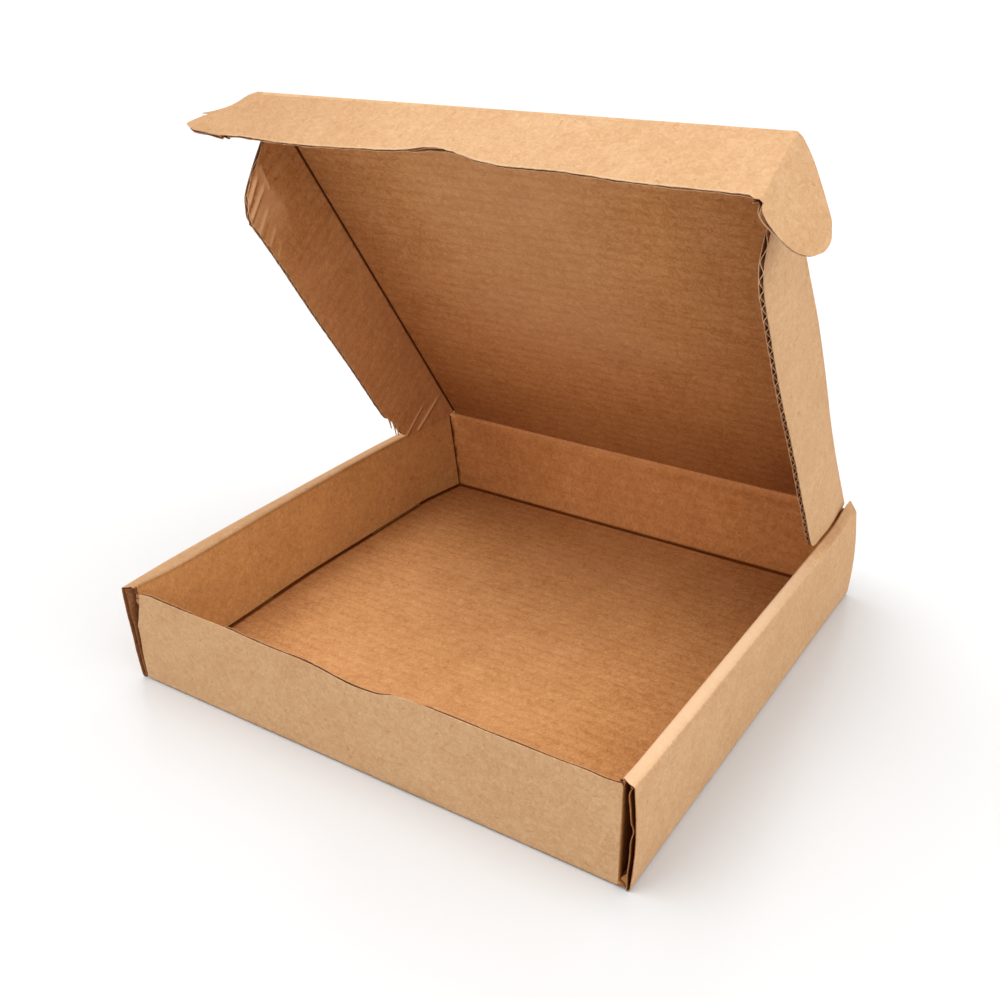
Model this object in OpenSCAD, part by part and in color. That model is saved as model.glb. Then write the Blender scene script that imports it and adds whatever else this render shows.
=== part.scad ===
// Corrugated mailer box, folded from one die-cut sheet of single-wall board, lid standing open.
// Origin at the centre of the underside: X to the right, Y to the back, Z up. Millimetres.

/* [Box] */
// Outside width of the tray
box_w = 260; // [200:5:330]
// Outside depth of the tray, front wall to back wall
box_d = 256.6; // [200:0.2:330]
// Height of the side walls at their outer top crease
side_h = 49.5; // [40:0.5:80]
// Height of the front wall
front_h = 47.6; // [35:0.1:75]
// Height of the lid's hinge crease
hinge_h = 50.7; // [42:0.1:82]

/* [Board] */
// Thickness of the board
board_t = 2.4; // [2:0.1:3]
// Thickness of each liner
liner_t = 0.32; // [0.25:0.01:0.4]
// Thickness of the fluted paper between the liners
medium_t = 0.3; // [0.25:0.01:0.35]
// Distance from one flute to the next
flute_pitch = 6.5; // [5.5:0.1:8]
// Outer radius of a folded edge
fold_r = 1.6; // [1:0.1:2]
// Gap left at a crease between two panels that swing
crease_gap = 0.3; // [0.2:0.05:0.4]

/* [Double side walls] */
// Width over both panels of a side wall
wall_w = 5.3; // [5.1:0.1:6]
// How much higher the rolled-over top is at its inner crease
roll_rise = 1.6; // [0.5:0.1:3]
// How far the left wall leans out
left_lean = 3; // [0:0.5:6]
// Length of the corner tabs inside the side walls
corner_tab_l = 50; // [30:1:70]
// Gap between the layers pressed together inside a side wall
layer_gap = 0.2; // [0.15:0.05:0.4]
// Gap under the inner panel
seam = 0.5; // [0.3:0.1:1]
// How far the floor is pressed down under the inner panel
floor_press = 0.3; // [0.1:0.05:0.35]
// Length of each locking tab in the floor
lock_l = 47; // [30:1:60]
// Distance of the locking tabs from the middle
lock_y = 66; // [45:1:80]
// Gap around a locking tab in its slot
lock_gap = 0.4; // [0.3:0.1:0.8]

/* [Lid] */
// Depth of the lid from hinge crease to the right end of the front crease
lid_l = 253.2; // [198:0.1:328]
// How far out of square the front crease runs, towards the hinge on the left
front_skew = 0.85; // [0:0.05:1.5]
// Gap between a side flap and the side wall it drops inside
flap_gap = 0.4; // [0.3:0.1:1]
// Angle of the lid above the closed position
lid_open = 54.6; // [45:0.1:90]
// Reach of the side flaps
side_flap_w = 44; // [30:0.5:60]
// Fold of the side flaps from the plane of the lid
side_fold = 90; // [80:1:90]
// Reach of the front flap at its right end
front_flap_w = 32.8; // [25:0.2:42]
// How much less it reaches at its left end
front_flap_taper = 4.4; // [0:0.2:6]
// Fold of the front flap from the plane of the lid
front_fold = 85; // [75:1:90]
// Reach of the ears
ear_w = 31.4; // [25:0.2:45]
// Fold of the right ear from the plane of the front flap
right_ear_fold = 55; // [30:1:90]
// How much shorter the right side flap is, clear of the bent ear
ear_room = 4.5; // [3:0.5:10]
// Fold of the left ear from the plane of the front flap
left_ear_fold = 5; // [0:1:90]

/* [Thumb notches] */
// Depth of the notch in the front wall
wall_notch = 4.4; // [2:0.1:8]
// Depth of the notch in the front flap
flap_notch = 6.3; // [3:0.1:9]

/* [Hidden] */
kraft = "#c8955f";
kraft_pale = "#dcab78";

// Half the board: radius of the knuckle that ends each swinging panel, about its crease axis
knuckle = board_t / 2;
// A panel stops this far from the axis of the panel that swings on it
stop = knuckle + crease_gap;
half_w = box_w / 2;
half_d = box_d / 2;
// Inner face of the side walls, and outer face of their inner panel
inner_x = half_w - wall_w;
inner_back_x = inner_x + board_t;
// Bottom edge of the inner panel
panel_low = board_t - floor_press + seam;
// Thickness of a corner tab and of the inner panel beside it, pressed together to one board
tab_t = (board_t - layer_gap) / 2;
hinge_y = half_d - knuckle;
// Crease axes of the lid: side flaps just inside the side walls, ears outside the side flaps
side_axis = inner_x - flap_gap - knuckle;
ear_axis = side_axis + board_t + crease_gap;

// Points along an arc about c
function arc(c, r, a0, a1, n = 6) =
    [for (i = [0:n]) c + r * [cos(a0 + (a1 - a0) * i / n), sin(a0 + (a1 - a0) * i / n)]];
// A smooth line through the points p, with n steps between neighbours
function knot(p, i) = p[max(0, min(len(p) - 1, i))];
function blend_at(a, b, c, d, u) =
    0.5 * (2 * b + (c - a) * u + (2 * a - 5 * b + 4 * c - d) * u * u + (3 * b - a - 3 * c + d) * u * u * u);
function smooth(p, n = 4) = concat(
    [for (i = [0:len(p) - 2], k = [0:n - 1]) blend_at(knot(p, i - 1), p[i], p[i + 1], knot(p, i + 2), k / n)],
    [p[len(p) - 1]]);

// Outline of a thumb notch, as points [x, depth] from left to right, about its deepest place
function notch_line(depth) = smooth([
    [-55, 0], [-36, 0.12 * depth], [-21, 0.28 * depth], [-9, 0.62 * depth], [0, depth],
    [9, 0.78 * depth], [17, 0.3 * depth], [24, 0.04 * depth], [31, 0]], 3);
wall_notch_x = 3;
flap_notch_x = -13;

// A piece drawn in X and Z, given thickness th from y back
module upright_xz(y, th) {
    translate([0, y + th, 0]) rotate([90, 0, 0]) linear_extrude(th) children();
}
// A section drawn in X and Z, running along Y from y0 to y1
module along_y(y0, y1) {
    translate([0, y1, 0]) rotate([90, 0, 0]) linear_extrude(y1 - y0) children();
}
// A section drawn in Y and Z, running along X from x0 to x1
module along_x(x0, x1) {
    translate([x0, 0, 0]) rotate([90, 0, 90]) linear_extrude(x1 - x0) children();
}

// Section of a folded edge between floor and wall, its outer corner at the origin, inside towards +x +y
module fold_section() {
    polygon(concat([[board_t, 0], [board_t, board_t], [0, board_t]],
        arc([fold_r, fold_r], fold_r, 180, 270)));
}

// Section of a side wall seen from the front: outer panel, rolled-over top and inner panel
module side_wall_section() {
    roll_a = atan2(roll_rise, wall_w);
    top_out = [half_w, side_h];
    top_in = [inner_x, side_h + roll_rise];
    roof_out = side_h - board_t + (board_t * tan(roll_a)) + 0.3;
    roof_in = roof_out + (wall_w - 2 * board_t) * tan(roll_a);
    polygon(concat(
        [[half_w, board_t - 0.4]],
        arc(top_out + [-fold_r, -fold_r * 0.75], fold_r, 0, 90 - roll_a, 5),
        arc(top_in + [0.9, -0.95], 0.9, 90 - roll_a, 180, 5),
        [[inner_x, panel_low], [inner_back_x, panel_low], [inner_back_x, roof_in],
         [half_w - board_t, roof_out], [half_w - board_t, board_t - 0.4]]));
}

// One double side wall with its locking tabs and corner tabs, on the right, leaning out by lean degrees
module side_wall(lean) {
    translate([half_w - fold_r, 0, fold_r]) rotate([0, lean, 0]) translate([fold_r - half_w, 0, -fold_r]) {
        difference() {
            along_y(-half_d, half_d) side_wall_section();
            for (end = [-1, 1]) inner_panel_end(end);
        }
        for (end = [-1, 1]) corner_tab(end);
        for (side = [-1, 1])
            translate([inner_x, side * lock_y - lock_l / 2, 0.2]) cube([board_t, lock_l, panel_low + 1]);
    }
    // what carries the leaning wall on its bottom fold
    along_y(-half_d, half_d) translate([half_w - fold_r, fold_r]) circle(fold_r, $fn = 32);
}

// What is cut from the end of a side wall: room for the front or back wall and for the corner tab
module inner_panel_end(end) {
    wall_end = half_d - board_t - seam;
    tab_end = half_d - corner_tab_l - seam;
    mirror([0, end > 0 ? 0 : 1, 0]) {
        translate([inner_x - 1, wall_end, board_t])
            cube([board_t + wall_w - 2 * board_t + 1, board_t + 2 * seam, front_h + seam - board_t]);
        translate([inner_x + tab_t, tab_end, board_t])
            cube([board_t - tab_t + (wall_w - 2 * board_t), half_d - tab_end + 1, front_h - 1.5 - board_t]);
    }
}

// A tab folded from the end of the front or back wall, back into the side wall
module corner_tab(end) {
    tab_low = board_t + 0.8;
    tab_high = front_h - 2.2;
    mirror([0, end > 0 ? 0 : 1, 0]) {
        translate([inner_back_x - tab_t, half_d - corner_tab_l, tab_low])
            cube([tab_t, corner_tab_l - board_t + 0.1, tab_high - tab_low]);
        translate([0, 0, board_t - 0.4])
            linear_extrude(front_h - board_t + 0.4)
                polygon(concat([[inner_x - 0.2, half_d - board_t], [inner_x - 0.2, half_d]],
                    arc([inner_back_x - board_t, half_d - board_t], board_t, 90, 0, 8)));
    }
}

// Front or back wall in its own plane, seen from the front: ends follow the side walls
module end_wall_outline(top) {
    lean_x = tan(left_lean) * (front_h - fold_r);
    difference() {
        polygon([[-inner_x, board_t - 0.4], [inner_x, board_t - 0.4], [inner_x, top],
            [-inner_x - lean_x, top]]);
        children();
    }
}

module front_wall() {
    upright_xz(-half_d, board_t) end_wall_outline(front_h)
        polygon(concat([for (p = notch_line(wall_notch)) [p.x + wall_notch_x, front_h - p.y]],
            [[40 + wall_notch_x, front_h], [40 + wall_notch_x, front_h + 5],
             [-60 + wall_notch_x, front_h + 5], [-60 + wall_notch_x, front_h]]));
}

module back_wall() {
    upright_xz(half_d - board_t, board_t) end_wall_outline(hinge_h - stop);
}

module floor_panel() {
    slot_w = board_t + 2 * lock_gap;
    slot_l = lock_l + 2 * lock_gap;
    difference() {
        union() {
            translate([board_t - half_w, board_t - half_d, 0])
                cube([box_w - 2 * board_t, box_d - 2 * board_t, board_t]);
            along_y(-half_d, half_d) {
                translate([-half_w, 0]) fold_section();
                translate([half_w, 0]) mirror([1, 0]) fold_section();
            }
            along_x(-inner_x, inner_x) {
                translate([-half_d, 0]) fold_section();
                translate([half_d, 0]) mirror([1, 0]) fold_section();
            }
        }
        for (x = [-1, 1], y = [-1, 1])
            translate([x * (inner_x + board_t / 2) - slot_w / 2, y * lock_y - slot_l / 2, -1])
                cube([slot_w, slot_l, board_t + 2]);
        for (side = [0, 1]) mirror([side, 0, 0])
            translate([inner_x, board_t - half_d, board_t - floor_press])
                cube([wall_w - board_t, box_d - 2 * board_t, floor_press + 1]);
    }
}

module tray() {
    color(kraft) {
        floor_panel();
        front_wall();
        back_wall();
        side_wall(0);
        mirror([1, 0, 0]) side_wall(left_lean);
    }
}

// The lid's own frame: X right, Y from hinge to front crease, Z towards the inside of the box
module lid_frame() {
    translate([0, hinge_y, hinge_h]) rotate([180 - lid_open, 0, 0]) children();
}
// The front flap's frame: X right along its crease, Y from there to its free edge, Z towards the inside
module front_frame() {
    lid_frame() translate([ear_axis, lid_l, 0]) rotate([0, 0, front_skew]) translate([-ear_axis, 0, 0])
        rotate([front_fold, 0, 0]) children();
}
// The frame of a flap on the right: X away from its crease, Y along the crease
module turn_flap(axis_x, fold) {
    translate([axis_x, 0, 0]) rotate([0, -fold, 0]) children();
}
// The round edge that a swinging panel turns on, along Y
module knuckle_y(y0, y1) {
    translate([0, y1, 0]) rotate([90, 0, 0]) cylinder(r = knuckle, h = y1 - y0, $fn = 32);
}
// A panel of board lying in X and Y, centred on its plane
module panel() {
    translate([0, 0, -knuckle]) linear_extrude(board_t) children();
}

// The spaces on both sides of the fluted paper, as a section along the crease in Y and Z
wave = knuckle - liner_t - medium_t / 2;
function wave_z(y) = wave * cos(360 * y / flute_pitch);
module flute_spaces(y0, y1) {
    half = 0.44 * flute_pitch;
    first = ceil(y0 / flute_pitch);
    last = floor(y1 / flute_pitch);
    for (i = [first:0.5:last]) {
        up = i == floor(i) ? -1 : 1;
        polygon(concat(
            [for (k = [-4:4]) [i * flute_pitch + half * k / 4,
                wave_z(i * flute_pitch + half * k / 4) - up * -medium_t / 2]],
            [[i * flute_pitch + half, up * (knuckle - liner_t)],
             [i * flute_pitch - half, up * (knuckle - liner_t)]]));
    }
}
// Open flutes running from near the crease out through the free edge
module flutes(y0, y1, from, to) {
    translate([from, 0, 0]) rotate([90, 0, 90]) linear_extrude(to - from) flute_spaces(y0, y1);
}

// Outline of a side flap: X away from the crease, Y from the hinge end to the front end
flap_rear = 6.5;
flap_front = lid_l - 11.2;
module side_flap_outline(front) {
    w = side_flap_w;
    polygon(concat(
        [[0, flap_rear], [3, flap_rear + 1.5]],
        smooth([[w - 18, flap_rear + 15], [w - 6, flap_rear + 22.5], [w - 1.2, flap_rear + 31],
            [w, flap_rear + 42]]),
        smooth([[w, front - 38], [w - 1, front - 26], [w - 6, front - 17], [w - 15, front - 11]]),
        [[3, front - 1], [0, front]]));
}

module side_flap(front) {
    difference() {
        union() {
            panel() side_flap_outline(front);
            knuckle_y(flap_rear, front);
        }
        flutes(flap_rear + 3, front - 3, 4, side_flap_w + 5);
    }
}

module left_side_flap() {
    color(kraft) lid_frame() mirror([1, 0, 0]) turn_flap(side_axis, side_fold) side_flap(flap_front);
}

module right_side_flap() {
    color(kraft_pale) lid_frame() turn_flap(side_axis, side_fold) side_flap(flap_front - ear_room);
}

// The lid between its creases, with a shoulder beyond each side flap out to the ear's crease
function lid_front(x) = lid_l - stop / cos(front_skew) + (x - ear_axis) * tan(front_skew);
module lid_panel() {
    shoulder = flap_front + crease_gap;
    edge = side_axis - stop;
    rear = side_axis - 1;
    corner = ear_axis - stop;
    color(kraft) lid_frame() {
        panel() polygon([[-rear, 0], [rear, 0], [rear, flap_rear - crease_gap],
            [edge, flap_rear - crease_gap], [edge, shoulder], [corner, shoulder],
            [corner, lid_front(corner)], [-corner, lid_front(-corner)], [-corner, shoulder],
            [-edge, shoulder], [-edge, flap_rear - crease_gap], [-rear, flap_rear - crease_gap]]);
        translate([-rear, 0, 0]) rotate([0, 90, 0]) cylinder(r = knuckle, h = 2 * rear, $fn = 32);
    }
}

// Reach of the front flap at x along its crease
function front_reach(x) = front_flap_w - front_flap_taper * (ear_axis - stop - x) / (2 * ear_axis - 2 * stop);
module front_flap() {
    edge = ear_axis - stop;
    notch = [for (p = notch_line(flap_notch)) [p.x + flap_notch_x, front_reach(p.x + flap_notch_x) - p.y]];
    color(kraft_pale) front_frame() {
        panel() polygon(concat(
            [[-edge, 0], [edge, 0], [edge, front_reach(edge)]],
            [for (i = [len(notch) - 1:-1:0]) notch[i]],
            [[-edge, front_reach(-edge)]]));
        translate([-edge, 0, 0]) rotate([0, 90, 0]) cylinder(r = knuckle, h = 2 * edge, $fn = 32);
    }
}

// Outline of an ear: X away from its crease, Y from the front crease to the free edge
module right_ear_outline() {
    w = ear_w;
    polygon(concat([[0, 0.4]],
        smooth([[2.5, -0.4], [7, 0.4], [w - 14.8, 7.1], [w - 4.2, 15.8], [w - 1.4, 20], [w, 25],
            [w - 0.8, 29.5], [w - 4.1, 34.9], [w - 9.9, 38.9], [w - 16, 40.3], [w - 22.7, 39.8],
            [3.5, 37]], 4),
        [[0, 33]]));
}
// The left ear is torn: a nick splits its end
module left_ear_outline() {
    w = ear_w;
    polygon(concat([[0, 0.4]],
        smooth([[2.4, -0.5], [6.4, 1.6], [9.8, 6], [12.8, 9.2], [w - 7.9, 13.3], [w - 2.4, 13.9]], 3),
        [[w - 9.4, 15]],
        smooth([[w - 3.8, 17.9], [w - 0.8, 21.2], [w - 2.9, 23.7], [w - 8.8, 26.2], [12.3, 28.2],
            [3, 29]], 3),
        [[0, 28.6]]));
}
// An ear with its crease crease_l long and flutes from near the front crease to flute_l
module ear(crease_l, flute_l) {
    difference() {
        union() {
            panel() children();
            knuckle_y(0.4, crease_l - 0.2);
        }
        flutes(3, flute_l, 4, ear_w + 6);
    }
}

module left_ear() {
    crease_l = front_flap_w - front_flap_taper;
    color(kraft_pale) front_frame() mirror([1, 0, 0]) turn_flap(ear_axis, left_ear_fold)
        ear(crease_l, crease_l - 3) left_ear_outline();
}

module right_ear() {
    color(kraft) front_frame() turn_flap(ear_axis, right_ear_fold)
        ear(front_flap_w, front_flap_w + 3) right_ear_outline();
}

tray();
lid_panel();
left_side_flap();
right_side_flap();
front_flap();
left_ear();
right_ear();
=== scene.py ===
import bisect
import math
import bmesh
import bpy
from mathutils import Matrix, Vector, noise


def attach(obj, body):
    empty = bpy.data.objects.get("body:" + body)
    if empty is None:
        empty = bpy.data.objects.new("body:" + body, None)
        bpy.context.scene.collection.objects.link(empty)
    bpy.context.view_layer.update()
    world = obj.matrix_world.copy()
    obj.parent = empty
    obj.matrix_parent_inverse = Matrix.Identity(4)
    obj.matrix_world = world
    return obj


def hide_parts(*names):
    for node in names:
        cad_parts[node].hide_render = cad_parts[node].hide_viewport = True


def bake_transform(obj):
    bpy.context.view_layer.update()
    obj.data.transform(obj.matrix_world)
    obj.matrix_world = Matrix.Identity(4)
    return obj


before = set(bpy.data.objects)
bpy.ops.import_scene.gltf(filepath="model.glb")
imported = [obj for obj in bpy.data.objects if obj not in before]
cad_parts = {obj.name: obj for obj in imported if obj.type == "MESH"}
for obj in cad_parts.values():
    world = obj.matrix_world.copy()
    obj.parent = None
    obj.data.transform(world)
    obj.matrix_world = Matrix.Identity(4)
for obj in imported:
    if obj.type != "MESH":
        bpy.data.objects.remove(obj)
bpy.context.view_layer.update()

# Sizes are in millimetres, and a mesh is scaled to metres when it is made.
# A panel of board has its outside face at height -HALF and its inside face at height HALF.
HALF = 1.2
LINER = 0.32
# The flutes: from one to the next, half the height of their wave, and the wave's angle for each mm
PITCH = 6.5
WAVE = 0.75
WAVES = 2 * math.pi / PITCH
# How far a panel and its inside liner stop from the axis of their crease
STOP = 1.5
INSET = 2.3
# The tray: outside sizes, inner face of a double wall, bottom folds, hinge, and the foot of an inner panel
HALF_W = 130.0
HALF_D = 128.3
INNER_X = 124.7
FOLD_R = 1.6
HINGE_H = 50.7
FOOT = 3.3
# The locking tabs in the floor: their middle, half their length and the gap around them
LOCK_Y = 66
LOCK_HALF = 23.5
LOCK_GAP = 0.4
# The lid: creases of its side flaps and ears, length, angles
SIDE_AXIS = 123.1
EAR_AXIS = 125.8
LID_L = 253.2
FRONT_SKEW = 0.85
LID_OPEN = 54.6
FRONT_FOLD = 85.0
RIGHT_EAR_FOLD = 55.0
LEFT_EAR_FOLD = 5.0
# Material slots, in the order of PAPER
OUTSIDE, INSIDE, CUT, FLUTING, TURNED, BACK = range(6)

X = Vector((1, 0, 0))
Y = Vector((0, 1, 0))
Z = Vector((0, 0, 1))
HINGE = Vector((0, HALF_D - HALF, HINGE_H))


def turned(start, towards, degrees):
    """The direction start, turned by degrees towards another direction at right angles to it."""
    a = math.radians(degrees)
    return start * math.cos(a) + towards * math.sin(a)


# Along the lid from the hinge to the front crease, and from its middle to the inside of the box
LID_B = turned(-Y, Z, LID_OPEN)
LID_H = turned(-Z, -Y, LID_OPEN)
# The front crease runs out of square, about its right end
FLAP_A = turned(X, LID_B, FRONT_SKEW)
LID_OUT = turned(LID_B, -X, FRONT_SKEW)
FRONT = HINGE + LID_B * LID_L + (X - FLAP_A) * EAR_AXIS
FLAP_B = turned(LID_OUT, LID_H, FRONT_FOLD)
FLAP_H = turned(LID_H, -LID_OUT, FRONT_FOLD)


def plane(place, a, b, h):
    return lambda s, t, height: place + a * s + b * t + h * height


def wander(x, size, seed):
    """A smooth wandering line, between about -1 and 1."""
    return 1.7 * noise.noise(Vector((x / size, 3.17 * seed, 0.37 * seed)))


def ruffle(a, b, size, seed):
    """A smooth wandering surface, between about -1 and 1."""
    return 1.7 * noise.noise(Vector((a / size, b / size, 5.3 * seed)))


def through(points):
    """A smooth function through points (x, y)."""
    xs = [p[0] for p in points]
    ys = [p[1] for p in points]
    last = len(xs) - 1

    def slope(i):
        i0 = max(i - 1, 0)
        i1 = min(i + 1, last)
        return (ys[i1] - ys[i0]) / (xs[i1] - xs[i0])

    def at(x):
        if x <= xs[0]:
            return ys[0]
        if x >= xs[last]:
            return ys[last]
        i = bisect.bisect_right(xs, x) - 1
        d = xs[i + 1] - xs[i]
        t = (x - xs[i]) / d
        h00 = (1 + 2 * t) * (1 - t) ** 2
        h01 = t * t * (3 - 2 * t)
        h10 = t * (1 - t) ** 2
        h11 = t * t * (t - 1)
        return h00 * ys[i] + h10 * d * slope(i) + h01 * ys[i + 1] + h11 * d * slope(i + 1)

    return at


def steps(first, last, size):
    n = max(1, round(abs(last - first) / size))
    return [first + (last - first) * i / n for i in range(n + 1)]


def smooth(x, low, high):
    t = min(1.0, max(0.0, (x - low) / (high - low)))
    return t * t * (3 - 2 * t)


class Piece:
    """Sheets of paper that are one object."""

    def __init__(self, name):
        self.name = name
        self.verts = []
        self.flat = []
        self.tones = []
        self.faces = []
        self.slots = []

    def sheet(self, rows, place, low, high, slots, keep=None, flat=None, tone=None):
        """A closed sheet over rows of points (a, b), from height low to height high.

        The slots are for its low face, high face and cut edge. Its tone, or tones for low and high, is 0, up
        to 1 where it is deeper and down to -1 where it is paler.
        """
        m = len(rows)
        n = len(rows[0])
        base = len(self.verts)
        for level in (low, high):
            for row in rows:
                for a, b in row:
                    self.verts.append(place(a, b, level(a, b) if callable(level) else level))
                    self.flat.append(flat(a, b) if flat else (a, b))
                    depth = tone[level is high] if isinstance(tone, tuple) else tone
                    self.tones.append(depth(a, b) if depth else 0.0)

        def kept(i, j):
            if not (0 <= i < m - 1 and 0 <= j < n - 1):
                return False
            if keep is None:
                return True
            a = (rows[i][j][0] + rows[i + 1][j + 1][0]) / 2
            b = (rows[i][j][1] + rows[i + 1][j + 1][1]) / 2
            return keep(a, b)

        def at(level, i, j):
            return base + (level * m + i) * n + j

        for i in range(m - 1):
            for j in range(n - 1):
                if not kept(i, j):
                    continue
                ring = [(i, j), (i, j + 1), (i + 1, j + 1), (i + 1, j)]
                self.add([at(0, *p) for p in ring], slots[0])
                self.add([at(1, *p) for p in reversed(ring)], slots[1])
                beyond = [(i - 1, j), (i, j + 1), (i + 1, j), (i, j - 1)]
                for k in range(4):
                    if not kept(*beyond[k]):
                        p = ring[k]
                        q = ring[(k + 1) % 4]
                        self.add([at(0, *q), at(0, *p), at(1, *p), at(1, *q)], slots[2])

    def add(self, face, slot):
        self.faces.append(face)
        self.slots.append(slot)

    def build(self):
        mesh = bpy.data.meshes.new(self.name)
        mesh.from_pydata([v * 0.001 for v in self.verts], [], self.faces)
        for material in PAPER:
            mesh.materials.append(material)
        mesh.polygons.foreach_set("material_index", self.slots)
        layer = mesh.uv_layers.new(name="flat")
        layer.data.foreach_set("uv", [c * 0.01 for loop in mesh.loops for c in self.flat[loop.vertex_index]])
        mesh.attributes.new("tone", "FLOAT", "POINT").data.foreach_set("value", self.tones)
        bm = bmesh.new()
        bm.from_mesh(mesh)
        bmesh.ops.delete(bm, geom=[v for v in bm.verts if not v.link_faces], context="VERTS")
        bmesh.ops.recalc_face_normals(bm, faces=bm.faces)
        bm.to_mesh(mesh)
        bm.free()
        mesh.polygons.foreach_set("use_smooth", [True] * len(mesh.polygons))
        mesh.set_sharp_from_angle(angle=math.radians(50))
        piece = bpy.data.objects.new(self.name, mesh)
        bpy.context.scene.collection.objects.link(piece)
        return piece

    def ride(self, body, *nodes):
        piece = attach(self.build(), body)
        if nodes:
            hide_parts(*nodes)
        return piece


FRACTIONS = [0, 0.12, 0.24, 0.36, 0.48, 0.58, 0.67, 0.75, 0.82, 0.88, 0.93, 0.97, 1]


def spread(bs, span, fractions=FRACTIONS):
    """Rows of points across a panel, at each b from one end of its span to the other."""
    rows = []
    for b in bs:
        a0, a1 = span(b)
        rows.append([(a0 + (a1 - a0) * f, b) for f in fractions])
    return rows


def level(a, b):
    return 0.0


def level_at(x):
    return 0.0


def liner(piece, rows, place, side, warp=level, ridge=0.05, keep=None, turn=False, tone=None):
    """The outside liner (side -1) or inside liner (side 1) of a panel, sunk a little between the flutes."""

    def face(a, b):
        sag = ridge * (1 - side * math.cos((a if turn else b) * WAVES)) / 2
        return side * (HALF - sag) + warp(a, b)

    def back(a, b):
        return side * (HALF - LINER) + warp(a, b)

    flat = (lambda a, b: (b, a)) if turn else None
    piece.sheet(rows, place, back, face, (FLUTING, OUTSIDE if side < 0 else INSIDE, CUT), keep, flat, tone)


def medium(piece, rows, place, warp=level, swell=None, thick=0.26, keep=None, turn=False):
    """The fluted paper between the liners, its waves running along a, or along b where turn is true."""

    def middle(a, b):
        wave = WAVE * math.cos((a if turn else b) * WAVES)
        if swell:
            wave = swell(a, b, wave)
        return wave + warp(a, b)

    def half(a, b):
        slope = WAVE * WAVES * math.sin((a if turn else b) * WAVES)
        return thick / 2 * math.sqrt(1 + slope * slope)

    flat = (lambda a, b: (b, a)) if turn else None
    piece.sheet(rows, place, lambda a, b: middle(a, b) - half(a, b), lambda a, b: middle(a, b) + half(a, b),
                (FLUTING, FLUTING, CUT), keep, flat)


def bend(name, axis, along, ends, arms, outs, groove=1.1, painted_groove_tones=(0.1, 0.75, 1.0, 0.75, 0.1),
         bow=level_at, shade=0.0, paper=INSIDE):
    """The two liners of the crease between two bodies.

    The axis is a point on the crease and along its direction, arms point into the panels, outs are their
    outward sides, painted_groove_tones are the tones across its inside (painted shade down its groove, and
    painted light where below 0), bow is how far it runs inwards from straight, shade is the outside's tone
    and paper the first panel's inside.
    """
    a_arm, b_arm = arms
    a_out, b_out = outs
    angle = a_out.angle(b_out)
    fold = Piece(name + "_outside")
    path = [axis + a_arm * STOP + a_out * HALF]
    for i in range(9):
        path.append(axis + a_out.slerp(b_out, i / 8).normalized() * HALF)
    path.append(axis + b_arm * STOP + b_out * HALF)
    inward = [-a_out] + [(axis - p).normalized() for p in path[1:-1]] + [-b_out]
    bs = steps(ends[0], ends[1], 6)
    rows = [[(i, b) for i in range(len(path))] for b in bs]
    fold.sheet(rows, lambda i, b, h: path[i] + along * b + inward[i] * h - b_out * bow(b), 0, LINER,
               (OUTSIDE, FLUTING, CUT), flat=lambda i, b: (b, 0.4 * i), tone=lambda i, b: shade)
    piece = fold.build()
    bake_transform(piece)

    fold = Piece(name + "_inside")
    middle = (a_arm + b_arm).normalized() if angle > 0.02 else -a_out
    tip = HALF / math.cos(angle / 2)
    a_end = axis + a_arm * (INSET + 0.1) - a_out * HALF
    b_end = axis + b_arm * (INSET + 0.1) - b_out * HALF
    low = axis - (a_out + b_out).normalized() * (tip - groove)
    inner = [a_end, a_end.lerp(low, 0.4) - a_out * 0.12, low, b_end.lerp(low, 0.4) - b_out * 0.12, b_end]
    outward = [(a_out * (4 - i) + b_out * i).normalized() for i in range(5)]
    for half, slot in (((0, 1, 2), paper), ((2, 3, 4), INSIDE)):
        fold.sheet([[(i, b) for i in half] for b in bs],
                   lambda i, b, h: inner[i] + along * b + outward[i] * h - b_out * bow(b), 0, LINER,
                   (slot, FLUTING, CUT), flat=lambda i, b: (b, 0.4 * i), tone=lambda i, b: painted_groove_tones[i])
    piece = fold.build()
    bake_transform(piece)


# Materials

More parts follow.
